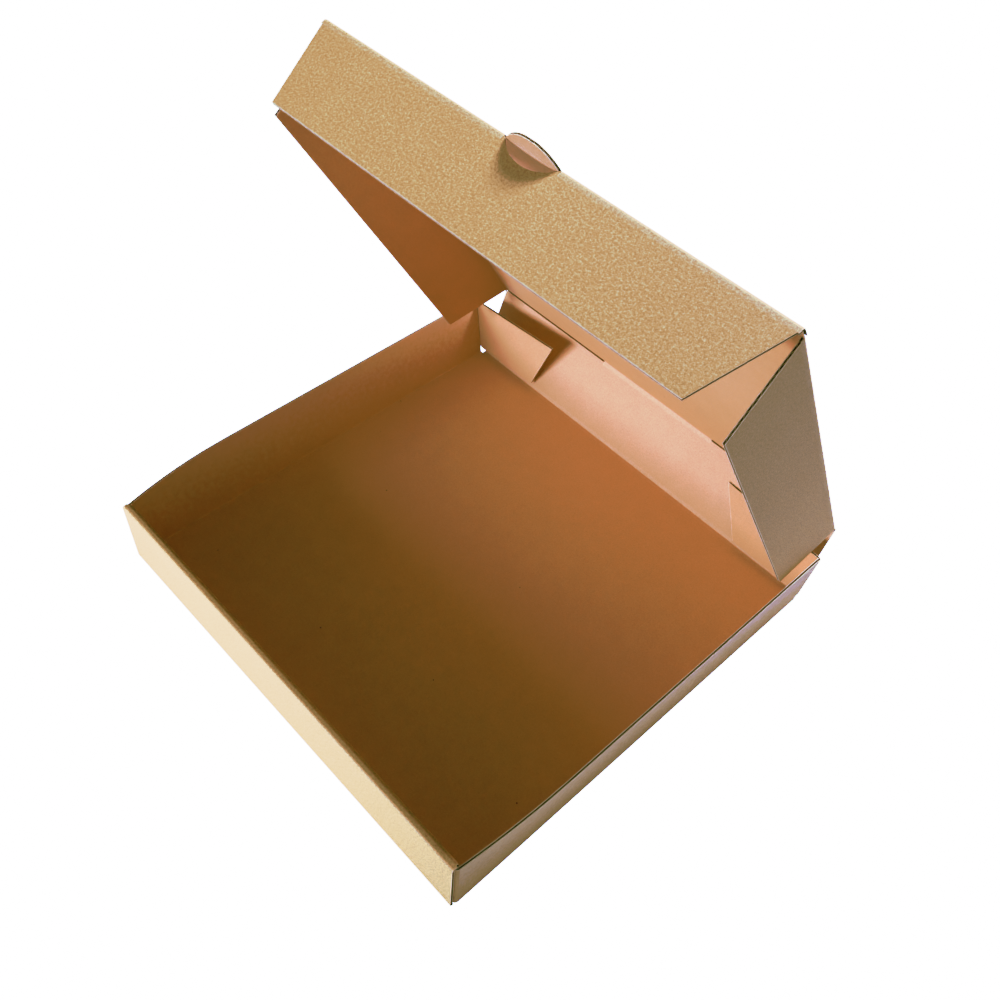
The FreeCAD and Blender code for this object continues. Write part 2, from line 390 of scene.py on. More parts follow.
# Node trees
class Nodes:
    """Short ways to add nodes to one tree and to join them up."""

    def __init__(self, tree):
        self.add, self.link = tree.nodes.new, tree.links.new

    def feed(self, socket, value):
        """Joins a socket up with another one, or sets its own value."""
        if isinstance(value, bpy.types.NodeSocket):
            self.link(value, socket)
        elif value is not None:
            socket.default_value = value

    def maths(self, operation, *values):
        node = self.add("ShaderNodeMath")
        node.operation = operation
        for socket, value in zip(node.inputs, values):
            self.feed(socket, value)
        return node.outputs[0]

    def plus(self, a, b):
        return self.maths("ADD", a, b)

    def times(self, first, *others):
        for value in others:
            first = self.maths("MULTIPLY", first, value)
        return first

    def swing(self, value, strength):
        """How far a value is from its middle, 0.5, times a strength."""
        return self.times(self.maths("SUBTRACT", value, 0.5), strength)

    def weighted(self, a, share_a, b, share_b):
        return self.plus(self.times(a, share_a), self.times(b, share_b))

    def vectors(self, operation, a, b=None, scale=None):
        node = self.add("ShaderNodeVectorMath")
        node.operation = operation
        self.feed(node.inputs[0], a)
        self.feed(node.inputs[1], b)
        if scale is not None:
            self.feed(node.inputs["Scale"], scale)
        return node.outputs[0]

    def split(self, vector):
        node = self.add("ShaderNodeSeparateXYZ")
        self.link(vector, node.inputs[0])
        return node.outputs

    def cells(self, vector, scale):
        """Voronoi cells, with three random numbers for each one."""
        node = self.add("ShaderNodeTexVoronoi")
        node.inputs["Scale"].default_value = scale
        self.link(vector, node.inputs["Vector"])
        chance = self.add("ShaderNodeSeparateColor")
        self.link(node.outputs["Color"], chance.inputs[0])
        return node.outputs, chance.outputs

    def ramp(self, value, low, high, to_low=0.0, to_high=1.0):
        node = self.add("ShaderNodeMapRange")
        node.interpolation_type = "SMOOTHSTEP"
        ends = {"Value": value, "From Min": low, "From Max": high, "To Min": to_low, "To Max": to_high}
        for key, number in ends.items():
            self.feed(node.inputs[key], number)
        return node.outputs[0]

    def noise(self, vector, scale, detail, rough, distort=0.0):
        node = self.add("ShaderNodeTexNoise")
        self.feed(node.inputs["Vector"], vector)
        self.feed(node.inputs["Scale"], scale)
        self.feed(node.inputs["Detail"], detail)
        self.feed(node.inputs["Roughness"], rough)
        self.feed(node.inputs["Distortion"], distort)
        return node.outputs[0]

    def mix(self, factor, a, b):
        """A blend of two colours. A mix node has its colour sockets after those of the other kinds."""
        node = self.add("ShaderNodeMix")
        node.data_type = "RGBA"
        self.feed(node.inputs[0], factor)
        self.feed(node.inputs[6], a)
        self.feed(node.inputs[7], b)
        return node.outputs[2]

    def attribute(self, name):
        node = self.add("ShaderNodeAttribute")
        node.attribute_name = name
        return node.outputs["Fac"]

    def group(self, tree, values):
        node = self.add("ShaderNodeGroup")
        node.node_tree = tree
        for key, value in values.items():
            self.feed(node.inputs[key], value)
        return node.outputs


# The flutes, made by Geometry Nodes from a flat middle sheet
def flute_nodes():
    """Waves a sheet by its distance across the flutes and gives it the paper's thickness."""
    tree = bpy.data.node_groups.new("Flutes", "GeometryNodeTree")
    face = tree.interface
    face.new_socket("Sheet", in_out="INPUT", socket_type="NodeSocketGeometry")
    for name, value in (("Pitch", PITCH * MM), ("Height", 1.0 * MM), ("Paper", FLUTE_PAPER * MM)):
        socket = face.new_socket(name, in_out="INPUT", socket_type="NodeSocketFloat")
        socket.default_value = value
    face.new_socket("Finish", in_out="INPUT", socket_type="NodeSocketMaterial")
    face.new_socket("Flutes", in_out="OUTPUT", socket_type="NodeSocketGeometry")
    nodes = Nodes(tree)
    given, out = nodes.add("NodeGroupInput"), nodes.add("NodeGroupOutput")
    pitch, paper = given.outputs["Pitch"], given.outputs["Paper"]

    def named(kind, name):
        node = nodes.add("GeometryNodeInputNamedAttribute")
        node.data_type = kind
        node.inputs["Name"].default_value = name
        return node.outputs[0]

    across, outward = named("FLOAT", "across"), named("FLOAT_VECTOR", "outward")
    turn = nodes.times(nodes.maths("DIVIDE", across, pitch), 2 * pi)
    swing = nodes.times(nodes.maths("SUBTRACT", given.outputs["Height"], paper), 0.5)
    wave = nodes.times(nodes.maths("SINE", turn), swing)
    low = nodes.maths("SUBTRACT", wave, nodes.times(paper, 0.5))
    moved = nodes.add("GeometryNodeSetPosition")
    nodes.link(given.outputs["Sheet"], moved.inputs["Geometry"])
    nodes.link(nodes.vectors("SCALE", outward, scale=low), moved.inputs["Offset"])
    raised = nodes.add("GeometryNodeExtrudeMesh")
    raised.mode = "FACES"
    raised.inputs["Individual"].default_value = False
    nodes.link(moved.outputs[0], raised.inputs["Mesh"])
    nodes.link(nodes.vectors("SCALE", outward, scale=paper), raised.inputs["Offset"])
    turned = nodes.add("GeometryNodeFlipFaces")
    nodes.link(moved.outputs[0], turned.inputs["Mesh"])
    joined = nodes.add("GeometryNodeJoinGeometry")
    nodes.link(turned.outputs[0], joined.inputs[0])
    nodes.link(raised.outputs[0], joined.inputs[0])
    merged = nodes.add("GeometryNodeMergeByDistance")
    merged.inputs["Distance"].default_value = FLUTE_MERGE * MM
    nodes.link(joined.outputs[0], merged.inputs["Geometry"])
    real = nodes.add("GeometryNodeRealizeInstances")
    nodes.link(merged.outputs[0], real.inputs[0])
    coated = nodes.add("GeometryNodeSetMaterial")
    nodes.link(real.outputs[0], coated.inputs["Geometry"])
    nodes.link(given.outputs["Finish"], coated.inputs["Material"])
    nodes.link(coated.outputs[0], out.inputs[0])
    return tree


class Flutes:
    """The middle sheets of one body, which the Flutes tree waves."""

    def __init__(self):
        self.points, self.faces, self.across, self.outward = [], [], [], []
        self.sheet, self.edge = [], []

    def panel(self, place, sheet, start, end, low, high, stops=()):
        """A flat sheet from start to end across the flutes, with a short worn lip at both their ends."""
        count = max(2, round((end - start) / (PITCH / FLUTE_STEPS)))
        base = len(self.points)
        rows = len(stops) + 4
        for w in np.linspace(start, end, count + 1):
            a, b = low(w) + FLUTE_RECESS, high(w) - FLUTE_RECESS
            lip = min(FLUTE_EDGE, (b - a) / 3)
            inner = [min(max(s, a + lip), b - lip) for s in stops]
            for r in [a, a + lip, *inner, b - lip, b]:
                self.edge.append(1.0 if r in (a, b) else 0.0)
                self.points.append(place(w, r, BOARD / 2) * MM)
                self.outward.append((place(w, r, 0) - place(w, r, BOARD)).normalized())
                u, v = sheet(w, r)
                self.across.append(u * MM)
                self.sheet.append((u, v))
        for i in range(count):
            for j in range(rows - 1):
                p = base + i * rows + j
                self.faces.append([p, p + rows, p + rows + 1, p + 1])

    def object(self, name, tree, finish):
        """The mesh object that the tree makes of the sheets."""
        mesh = bpy.data.meshes.new(name)
        mesh.from_pydata([tuple(p) for p in self.points], [], self.faces)
        layer = mesh.attributes.new("outward", "FLOAT_VECTOR", "POINT")
        layer.data.foreach_set("vector", np.array([tuple(v) for v in self.outward], np.float32).ravel())
        write_layers(mesh, self.sheet, {"across": self.across, "edge_close": self.edge})
        raw = bpy.data.objects.new(name + "_flat", mesh)
        bpy.context.scene.collection.objects.link(raw)
        modifier = raw.modifiers.new("Flutes", "NODES")
        modifier.node_group = tree
        height = BOARD - 2 * LINER
        values = {"Pitch": PITCH * MM, "Height": height * MM, "Paper": FLUTE_PAPER * MM, "Finish": finish}
        for item in tree.interface.items_tree:
            if item.in_out == "INPUT" and item.name in values:
                modifier[item.identifier] = values[item.name]
        bpy.context.view_layer.update()
        ready = raw.evaluated_get(bpy.context.evaluated_depsgraph_get())
        waved = bpy.data.meshes.new_from_object(ready)
        waved.name = name
        raw.modifiers.remove(modifier)
        bpy.data.objects.remove(raw)
        return finished(name, waved, FLUTE_SHARP)


# Materials
FLOAT, VECTOR, COLOUR = "NodeSocketFloat", "NodeSocketVector", "NodeSocketColor"

# Fibres: the cell's size in metres, the length and width as shares of it, and the share of cells with one
DARK_LONG = {"Cell": 0.0034, "Length": 0.3, "Width": 0.04, "Share": 0.3}
DARK_SHORT = {"Cell": 0.0013, "Length": 0.3, "Width": 0.12, "Share": 0.35}
PALE_LONG = {"Cell": 0.0027, "Length": 0.34, "Width": 0.05, "Share": 0.4}
PALE_SHORT = {"Cell": 0.0012, "Length": 0.33, "Width": 0.14, "Share": 0.45}
FIBRE_ARCH = 2.4
FIBRE_CORE = 0.4
FIBRE_TAPER = 0.7
FIBRE_LEAST = 0.35

# Noise patterns: scale, detail, roughness and any distortion
FINE_GRAIN = (1500.0, 2.0, 0.6)
GRAIN = (720.0, 3.0, 0.7)
PATCHES = (75.0, 3.0, 0.6)
CLOUDS = (14.0, 2.0, 0.5)
LUMPS = (9.0, 2.0, 0.5)
RUB_BREAKS = (260.0, 4.0, 0.7)
CRACK_LINES = (520.0, 3.0, 0.7, 0.4)

# Specks in the pulp, strengths of the fibres, and how far rubbed and cracked paper is paler
SPECK_SCALE = 62.0
SPECK_SIZE = 0.05
SPECK_SHARE = 0.55
SPECK_STRENGTH = 0.75
SPECK_COLOUR = (0.05, 0.028, 0.012, 1)
PALE_STRENGTH = 0.55
DARK_LONG_STRENGTH = 0.7
DARK_SHORT_STRENGTH = 0.55
RIDGE_HEIGHT = 0.35
RUB_STRENGTH = 0.7
CRACK_STRENGTH = 0.22
LUMP_HEIGHT = 0.5


def new_group(name, inputs, outputs):
    """A shader group with named inputs and outputs, and its input and output nodes."""
    tree = bpy.data.node_groups.new(name, "ShaderNodeTree")
    for label, kind, value in inputs:
        socket = tree.interface.new_socket(label, in_out="INPUT", socket_type=kind)
        if value is not None:
            socket.default_value = value
    for label, kind in outputs:
        tree.interface.new_socket(label, in_out="OUTPUT", socket_type=kind)
    return tree, tree.nodes.new("NodeGroupInput"), tree.nodes.new("NodeGroupOutput")


def fibre_group():
    """Short bent fibres that lie every way in the paper, one or none in each cell."""
    tree, given, out = new_group(
        "Loose fibres",
        [("Sheet", VECTOR, None), ("Cell", FLOAT, 0.004), ("Length", FLOAT, 0.35), ("Width", FLOAT, 0.03),
         ("Share", FLOAT, 0.5)],
        [("Fibres", FLOAT)],
    )
    nodes = Nodes(tree)
    per_cell = nodes.maths("DIVIDE", 1.0, given.outputs["Cell"])
    scaled = nodes.vectors("SCALE", given.outputs["Sheet"], scale=per_cell)
    cell, chance = nodes.cells(scaled, 1.0)
    local = nodes.vectors("SUBTRACT", scaled, cell["Position"])
    spin = nodes.add("ShaderNodeVectorRotate")
    spin.rotation_type = "Z_AXIS"
    nodes.link(local, spin.inputs["Vector"])
    nodes.link(nodes.times(chance[0], 2 * pi), spin.inputs["Angle"])
    along, beside, _ = nodes.split(spin.outputs[0])
    arch = nodes.swing(chance[1], FIBRE_ARCH)
    curved = nodes.plus(beside, nodes.times(along, along, arch))
    width = given.outputs["Width"]
    thin = nodes.ramp(nodes.maths("ABSOLUTE", curved), nodes.times(width, FIBRE_CORE), width, 1.0, 0.0)
    reach = nodes.times(given.outputs["Length"], nodes.plus(chance[1], FIBRE_LEAST))
    short = nodes.ramp(nodes.maths("ABSOLUTE", along), nodes.times(reach, FIBRE_TAPER), reach, 1.0, 0.0)
    kept = nodes.maths("LESS_THAN", chance[2], given.outputs["Share"])
    nodes.link(nodes.times(thin, short, kept), out.inputs["Fibres"])
    return tree


def pulp_group(fibres):
    """Unbleached paper: cloudy pulp, fine grain, dark and pale fibres and a few dark specks."""
    tree, given, out = new_group(
        "Brown paper",
        [("Sheet", VECTOR, None), ("Paper", COLOUR, (0.5, 0.35, 0.2, 1)),
         ("Shade", COLOUR, (0.3, 0.2, 0.1, 1)), ("Light", COLOUR, (0.7, 0.55, 0.35, 1)),
         ("Grain", FLOAT, 0.5), ("Fibre", FLOAT, 0.5), ("Clouds", FLOAT, 0.3)],
        [("Colour", COLOUR), ("Height", FLOAT), ("Rough", FLOAT)],
    )
    nodes = Nodes(tree)
    sheet, fibre = given.outputs["Sheet"], given.outputs["Fibre"]
    shade, light = given.outputs["Shade"], given.outputs["Light"]
    fine, grain = nodes.noise(sheet, *FINE_GRAIN), nodes.noise(sheet, *GRAIN)
    patches, clouds = nodes.noise(sheet, *PATCHES), nodes.noise(sheet, *CLOUDS)
    kinds = (DARK_LONG, DARK_SHORT, PALE_LONG, PALE_SHORT)
    masks = [nodes.group(fibres, {"Sheet": sheet, **kind})[0] for kind in kinds]
    dark_long, dark_short, pale_long, pale_short = masks
    tone = nodes.weighted(nodes.ramp(grain, 0.3, 0.7), 0.6, nodes.ramp(fine, 0.3, 0.7), 0.4)
    broad = nodes.weighted(patches, 0.6, clouds, 0.4)
    level = nodes.plus(nodes.swing(tone, given.outputs["Grain"]), nodes.swing(broad, given.outputs["Clouds"]))
    darker = nodes.mix(nodes.maths("MAXIMUM", nodes.times(level, -1.0), 0.0), given.outputs["Paper"], shade)
    toned = nodes.mix(nodes.maths("MAXIMUM", level, 0.0), darker, light)
    pale = nodes.times(nodes.maths("MAXIMUM", pale_long, pale_short), nodes.times(fibre, PALE_STRENGTH))
    lifted = nodes.mix(pale, toned, light)
    faint_long = nodes.times(dark_long, DARK_LONG_STRENGTH)
    faint_short = nodes.times(dark_short, DARK_SHORT_STRENGTH)
    dotted = nodes.mix(nodes.times(nodes.maths("MAXIMUM", faint_long, faint_short), fibre), lifted, shade)
    dot, chance = nodes.cells(sheet, SPECK_SCALE)
    size = nodes.times(chance[0], chance[0], SPECK_SIZE)
    disc = nodes.ramp(dot["Distance"], nodes.times(size, 0.6), size, 1.0, 0.0)
    speck = nodes.times(disc, nodes.maths("LESS_THAN", chance[1], SPECK_SHARE), SPECK_STRENGTH)
    nodes.link(nodes.mix(speck, dotted, SPECK_COLOUR), out.inputs["Colour"])
    ridge = nodes.times(nodes.maths("MAXIMUM", pale_long, dark_long), RIDGE_HEIGHT)
    nodes.link(nodes.plus(nodes.times(tone, 0.5), ridge), out.inputs["Height"])
    nodes.link(nodes.ramp(grain, 0.2, 0.8, 0.58, 0.82), out.inputs["Rough"])
    return tree


def rub_group():
    """How far a cut edge or a fold is rubbed pale, broken up by the paper's own unevenness."""
    tree, given, out = new_group(
        "Rubbed paper",
        [("Sheet", VECTOR, None), ("Edge", FLOAT, 0.0), ("Fold", FLOAT, 0.0)],
        [("Rub", FLOAT), ("Crack", FLOAT)],
    )
    nodes = Nodes(tree)
    breaks = nodes.noise(given.outputs["Sheet"], *RUB_BREAKS)
    rub = nodes.ramp(nodes.plus(given.outputs["Edge"], nodes.swing(breaks, 0.9)), 0.35, 0.95)
    nodes.link(rub, out.inputs["Rub"])
    lines = nodes.noise(given.outputs["Sheet"], *CRACK_LINES)
    nodes.link(nodes.ramp(nodes.times(given.outputs["Fold"], lines), 0.3, 0.62), out.inputs["Crack"])
    return tree


def linear(red, green, blue):
    """A colour given as it looks on a screen, 0 to 255."""
    screen = (red, green, blue)
    return tuple(((v / 255 + 0.055) / 1.055) ** 2.4 if v > 10 else v / 3295 for v in screen) + (1,)


def paper_material(name, groups, pulp_values, worn, bump, washboard, specular):
    """One paper. Its rubbed edges turn to the worn colour; bump and washboard are heights."""
    pulp, rub = groups
    material = bpy.data.materials.new(name)
    material.use_nodes = True
    tree = material.node_tree
    tree.nodes.clear()
    nodes = Nodes(tree)
    flat_map = nodes.add("ShaderNodeUVMap")
    flat_map.uv_map = "Sheet"
    sheet = flat_map.outputs[0]
    edge, fold = nodes.attribute("edge_close"), nodes.attribute("crease_close")
    body = nodes.group(pulp, {"Sheet": sheet, **pulp_values})
    rubbed = nodes.group(rub, {"Sheet": sheet, "Edge": edge, "Fold": fold})
    coloured = nodes.mix(nodes.times(rubbed["Rub"], RUB_STRENGTH), body["Colour"], worn)
    creased = nodes.mix(nodes.times(rubbed["Crack"], CRACK_STRENGTH), coloured, worn)
    wave = nodes.maths("SINE", nodes.times(nodes.split(sheet)[0], 2 * pi / (PITCH * MM)))
    lumps = nodes.noise(sheet, *LUMPS)
    height = nodes.weighted(body["Height"], bump * MM, wave, washboard * MM)
    raised = nodes.add("ShaderNodeBump")
    raised.inputs["Strength"].default_value = 1.0
    raised.inputs["Distance"].default_value = 1.0
    nodes.link(nodes.plus(height, nodes.times(lumps, LUMP_HEIGHT * MM)), raised.inputs["Height"])
    shader = nodes.add("ShaderNodeBsdfPrincipled")
    nodes.link(creased, shader.inputs["Base Color"])
    nodes.link(body["Rough"], shader.inputs["Roughness"])
    nodes.link(raised.outputs[0], shader.inputs["Normal"])
    shader.inputs["Specular IOR Level"].default_value = specular
    out = nodes.add("ShaderNodeOutputMaterial")
    nodes.link(shader.outputs[0], out.inputs[0])
    return material


def pulp_look(paper, shade, light, grain, fibre, clouds):
    """The brown paper's inputs: three screen colours and the strengths of its patterns."""
    colours = {"Paper": linear(*paper), "Shade": linear(*shade), "Light": linear(*light)}
    return {**colours, "Grain": grain, "Fibre": fibre, "Clouds": clouds}


groups = (pulp_group(fibre_group()), rub_group())
outside = paper_material(
    "outer_paper", groups, pulp_look((199, 151, 95), (122, 82, 40), (230, 194, 140), 1.15, 0.55, 0.3),
    worn=linear(220, 188, 144), bump=0.06, washboard=0.01, specular=0.5,
)
inside = paper_material(
    "inner_paper", groups, pulp_look((208, 154, 108), (172, 112, 66), (234, 186, 138), 0.35, 0.45, 0.3),
    worn=linear(228, 188, 146), bump=0.05, washboard=0.014, specular=0.4,
)
core = paper_material(
    "flute_paper", groups, pulp_look((98, 62, 36), (62, 40, 22), (132, 92, 58), 0.6, 0.5, 0.3),
    worn=linear(206, 166, 122), bump=0.05, washboard=0.0, specular=0.3,
)
torn = paper_material(
    "cut_paper", groups, pulp_look((206, 172, 132), (150, 112, 76), (232, 208, 176), 0.8, 0.6, 0.3),
    worn=linear(232, 208, 176), bump=0.08, washboard=0.0, specular=0.3,
)
papers = {"face": outside, "inner": inside, "back": core, "cut": torn}


def both(board, place, sheet, ws, low, high, **edges):
    """The outer and the inner liner of a stretch of board."""
    board.liner(place, sheet, ws, low, high, OUTER, "face", **edges)
    board.liner(place, sheet, ws, low, high, INNER, "inner", **edges)


boards = {name: Board() for name in frame["bodies"]}
flutes = {name: Flutes() for name in frame["bodies"]}
tray = boards["tray"]

# Floor
floor_front = FOLD_RADIUS - BOX_DEPTH / 2
floor_rear = BOX_DEPTH / 2 - CREASE_LAND
floor_place = flat_place(Vector((0, 0, 0)), X_AXIS, Y_AXIS, Z_AXIS)
both(tray, floor_place, on_sheet(), spread(-FLOOR_HALF, FLOOR_HALF, PANEL_STEP),
     constant(floor_front), constant(floor_rear), scored="seh", rows=LONG_ROWS)
flutes["tray"].panel(floor_place, on_sheet(), -FLOOR_HALF, FLOOR_HALF,
                     constant(floor_front), constant(floor_rear + FLUTE_OVERLAP))

# Front wall, rolled over
roll_path = [
    (-floor_front, 0),
    (BOX_DEPTH / 2, 0),
    (BOX_DEPTH / 2, FRONT_HEIGHT),
    (ROLL_INSIDE, FRONT_HEIGHT),
    (ROLL_INSIDE, BOARD + LAYER_GAP),
]
roll_length, roll_stops, roll_point = bent(roll_path, [FOLD_RADIUS, ROLL_RADIUS, ROLL_RADIUS])


def roll_place(w, r, depth):
    p = roll_point(r, depth)
    return Vector((w, -p.x, p.y))


def roll_sheet(w, r):
    return (w, floor_front - r)


# The outer wall ends at the start of the second bend of the roll, where the inner wall's liners begin
roll_middle = [s for s in roll_stops if s > FRONT_HEIGHT / 2][ARC_STEPS + 1]
wall_run = sorted([s for s in roll_stops if 0 < s < roll_middle] + [8.0, 14.0, 24.0, 34.0, 44.0, 50.0])
inner_turns = [s for s in roll_stops if roll_middle < s < roll_length]
inner_run = sorted(inner_turns + [roll_length - d for d in (0.5, 2.0, 6.0, 20.0, 35.0)])
both(tray, roll_place, roll_sheet, spread(-FRONT_HALF, FRONT_HALF, PANEL_STEP),
     constant(0.0), constant(roll_middle), cut="se", marks=wall_run)
both(tray, roll_place, roll_sheet, spread(-ROLL_HALF, ROLL_HALF, PANEL_STEP),
     constant(roll_middle), constant(roll_length), cut="seh", marks=inner_run)
flutes["tray"].panel(roll_place, roll_sheet, -ROLL_FLUTE_END, ROLL_FLUTE_END,
                     constant(0), constant(roll_length), wall_run[::2] + inner_run[::2])

# Side walls and the dust flaps folded round from them
SIDE_RUN = SIDE_FOLD_LAND + FOLD_RADIUS * pi / 2 + SIDE_HEIGHT_FRONT - FOLD_RADIUS
SIDE_STOPS = (2, 5, 10, 16, 24, 32, 42, 52, 64, 80, 110, 150, 200, 250, 290)
SIDE_FOLD_STOPS = (0.0, 1.0, 1.6, 2.3, 2.9, 3.5, 4.2, 4.8, 6.5)
SIDE_WALL_START = 10
SIDE_WALL_STEP = 8
SIDE_REAR_GAP = 0.15
DUST_STOPS = (1.0, 15.0, 35.0, 50.0)


def side_builder(lean_full):
    """The points of a side wall, whose top bows out up to a full lean; w is a share of its height."""
    cache = {}

    def section(y):
        if y not in cache:
            along = y - SIDE_FRONT
            length = SIDE_REAR - SIDE_FRONT
            height = SIDE_HEIGHT_FRONT + (SIDE_HEIGHT_REAR - SIDE_HEIGHT_FRONT) * along / length
            held = max(0.0, 1 - along / LEAN_LENGTH)
            top = (BOX_WIDTH / 2 + lean_full * (1 - held**2), height)
            cache[y] = bent([(FLOOR_HALF, 0), (BOX_WIDTH / 2, 0), top], [FOLD_RADIUS])
        return cache[y]

    def place(w, r, depth):
        total, _, point = section(r)
        p = point(w * total, depth)
        return Vector((p.x, r, p.y))

    return place


def by_length(place):
    """The points of a side wall, with w as a length up the wall."""
    def measured(w, r, depth):
        return place(w / SIDE_RUN, r, depth)

    return measured


dust_corner = (BOX_WIDTH / 2, -DUST_FACE)
dust_path = [(BOX_WIDTH / 2 - DUST_LENGTH, -DUST_FACE), dust_corner, (BOX_WIDTH / 2, SIDE_FRONT)]
dust_length, dust_stops, dust_point = bent(dust_path, [FOLD_RADIUS])
dust_foot, dust_top = FOLD_RADIUS + LAYER_GAP, SIDE_HEIGHT_FRONT
dust_run = sorted([s for s in dust_stops if 0 < s < dust_length - 0.01] + list(DUST_STOPS))


def dust_place(w, r, depth):
    p = dust_point(r, depth)
    return Vector((p.x, p.y, w))


wall_marks = [SIDE_FRONT + d for d in SIDE_STOPS] + [SIDE_REAR - CREASE_LAND - d for d in (5, 2)]
wall_shares = [s / SIDE_RUN for s in [*SIDE_FOLD_STOPS, *spread(SIDE_WALL_START, SIDE_RUN, SIDE_WALL_STEP)]]
for lean_full, side in ((RIGHT_LEAN, 1), (LEFT_LEAN, -1)):
    place = side_builder(lean_full) if side > 0 else mirrored(side_builder(lean_full))
    sheet = on_sheet(side=side, across=FLOOR_HALF, stretch=SIDE_RUN)
    start = constant(SIDE_FRONT)
    tray.liner(place, sheet, wall_shares, start, constant(SIDE_REAR - CREASE_LAND + 1), OUTER, "face",
               cut="e", marks=wall_marks)
    tray.liner(place, sheet, wall_shares, start, constant(SIDE_REAR - SIDE_REAR_GAP), INNER, "inner",
               cut="e", marks=wall_marks)
    flutes["tray"].panel(by_length(place), on_sheet(side=side, across=FLOOR_HALF), SIDE_FLUTE_START,
                         SIDE_RUN - SIDE_FLUTE_INSET, start, constant(SIDE_REAR - SIDE_FLUTE_REAR),
                         wall_marks)
    place = dust_place if side > 0 else mirrored(dust_place)
    sheet = on_sheet(SIDE_FRONT - dust_length, side, BOX_WIDTH / 2)
    both(tray, place, sheet, spread(dust_foot, dust_top, 12), constant(0.0), constant(dust_length),
         cut="sel", marks=dust_run)
    flutes["tray"].panel(place, sheet, dust_foot + 1, dust_top - FLAP_FLUTE_INSET,
                         constant(0.0), constant(dust_length), dust_run)

# Back wall
jump_stops = [side * JOINED_HALF + d for side in (-1, 1) for d in (-JUMP, JUMP)]
wall_place = flat_place(wall_crease, X_AXIS, wall_up, wall_inward)
wall_sheet = on_sheet(BOX_DEPTH / 2)
wall_stops = spread(-LID_HALF, LID_HALF, PANEL_STEP, *jump_stops)
for depths, finish, slit_end in ((OUTER, "face", SLIT_HALF), (INNER, "inner", BOARD)):
    wall_top = stepped(WALL_LENGTH - CREASE_LAND, WALL_LENGTH - slit_end)
    boards["back_wall"].liner(wall_place, wall_sheet, wall_stops, constant(CREASE_LAND), wall_top,
                              depths, finish, cut="se", scored="lh")
wall_flute_half = LID_HALF - WALL_FLUTE_INSET
flutes["back_wall"].panel(wall_place, wall_sheet, -wall_flute_half, wall_flute_half,
                          constant(CREASE_LAND - FLUTE_OVERLAP), constant(WALL_LENGTH - BOARD))

# Lid panel, with a narrow ear beyond each side crease at its front end
lid_place = flat_place(lid_crease, X_AXIS, lid_along, lid_inward)
lid_base = BOX_DEPTH / 2 + WALL_LENGTH
lid_sheet = on_sheet(lid_base)
lid_side = LID_HALF - CREASE_LAND
lid_end = LID_LENGTH - CREASE_LAND
lid_stops = spread(-lid_side, lid_side, PANEL_STEP, *jump_stops)
lid = boards["lid"]
for depths, finish, slit_end in ((OUTER, "face", SLIT_HALF), (INNER, "inner", BOARD)):
    lid.liner(lid_place, lid_sheet, lid_stops, stepped(CREASE_LAND, slit_end), constant(lid_end),
              depths, finish, scored="seh", rows=LONG_ROWS)
for side, cut_side in ((-1, "s"), (1, "e")):
    ear = sorted(side * (lid_side + CREASE_LAND * q / 4) for q in range(5))
    both(lid, lid_place, lid_sheet, ear, constant(SIDE_FLAP_FRONT[0]), constant(lid_end),
         cut=cut_side, rows=2)
flutes["lid"].panel(lid_place, lid_sheet, -LID_HALF + LID_FLUTE_INSET, LID_HALF - LID_FLUTE_INSET,
                    constant(BOARD), constant(lid_end + FLUTE_OVERLAP))

# The thumb tab, which carries on from the lid past the crease and leans back
TAB_END_GAP = 0.3
TAB_SIDE_END = -2.0
tab_path = [(-CREASE_LAND, 0), (0, 0), (TAB_HEIGHT * cos(TAB_LEAN), TAB_HEIGHT * sin(TAB_LEAN))]
tab_length, _, tab_point = bent(tab_path, [TAB_BEND])


def tab_place(w, r, depth):
    p = tab_point(r - lid_end, BOARD - depth)
    return lid_front + X_AXIS * w + lid_along * p.x + lid_inward * (BOARD - p.y)


def tab_high(w):
    reach = min(round_end(w, TAB_HALF, TAB_HEIGHT), tab_length - CREASE_LAND - TAB_END_GAP)
    return LID_LENGTH + (reach if abs(w) < TAB_HALF else TAB_SIDE_END)


tab_round = {round(v, 3) for v in np.linspace(-TAB_HALF + JUMP, TAB_HALF - JUMP, ROUND_STEPS)}
tab_stops = sorted(tab_round | {-TAB_SIDE, -TAB_HALF, TAB_HALF, TAB_SIDE})
both(lid, tab_place, lid_sheet, tab_stops, constant(lid_end), tab_high, cut="h", rows=8)
tab_rows = [lid_end + d for d in (2.5, 3.2, 4.0, 4.8, 5.6, 8.0)]
flutes["lid"].panel(tab_place, lid_sheet, -TAB_HALF + TAB_FLUTE_INSET, TAB_HALF - TAB_FLUTE_INSET,
                    constant(lid_end + 0.5), tab_high, tab_rows)

# Lid's front flap, which tapers to its slanted sides and starts beyond the thumb hole
FLAP_START = 0.2
FLAP_FLUTE_START = 0.3
flap_place = flat_place(lid_front, X_AXIS, flap_along, flap_inward)
flap_base = lid_base + LID_LENGTH
flap_side = LID_HALF - FRONT_FLAP_TAPER * CREASE_LAND / FRONT_FLAP_DEPTH - 0.1
flap_corner = LID_HALF - FRONT_FLAP_TAPER


def flap_low(w):
    return max(CREASE_LAND if abs(w) > TAB_SIDE else FLAP_START, round_end(w, HOLE_HALF, HOLE_DEPTH))


def flap_flutes_low(w):
    return max(flap_low(w) - (FLUTE_OVERLAP if abs(w) > TAB_SIDE else 0.0), FLAP_FLUTE_START)


def flap_high(w):
    return min(FRONT_FLAP_DEPTH, (LID_HALF - abs(w)) / FRONT_FLAP_TAPER * FRONT_FLAP_DEPTH)


